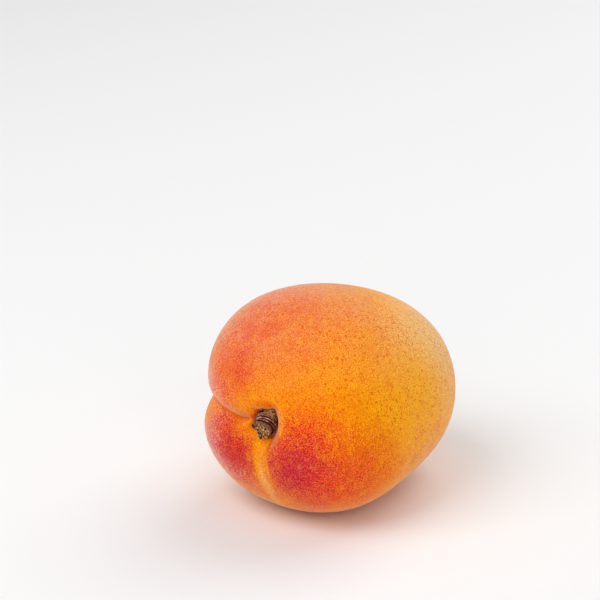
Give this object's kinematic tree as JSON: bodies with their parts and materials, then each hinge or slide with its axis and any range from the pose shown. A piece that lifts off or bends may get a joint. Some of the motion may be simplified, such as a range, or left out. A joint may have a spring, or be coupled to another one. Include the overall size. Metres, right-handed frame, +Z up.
{
  "type": "apricot",
  "caption": "Whole ripe apricot lying on its cheek, with a short stalk in its cavity and bud scales round the stalk.",
  "frame": {"origin": "middle of the small flat spot that the fruit rests on", "axes": "+Z up, -Y towards the stem end, -X towards the suture"},
  "size_m": [0.0438, 0.0526, 0.0432],
  "materials": {
    "skin": "velvety skin, orange with a crimson blush",
    "stalk_wood": "dry, rough, torn at the end",
    "scale_bark": "dry papery scales with pale edges"
  },
  "bodies": {
    "root": {"fruit": "skin", "stem": "stalk_wood", "bud_scales": "scale_bark"}
  },
  "joints": []
}
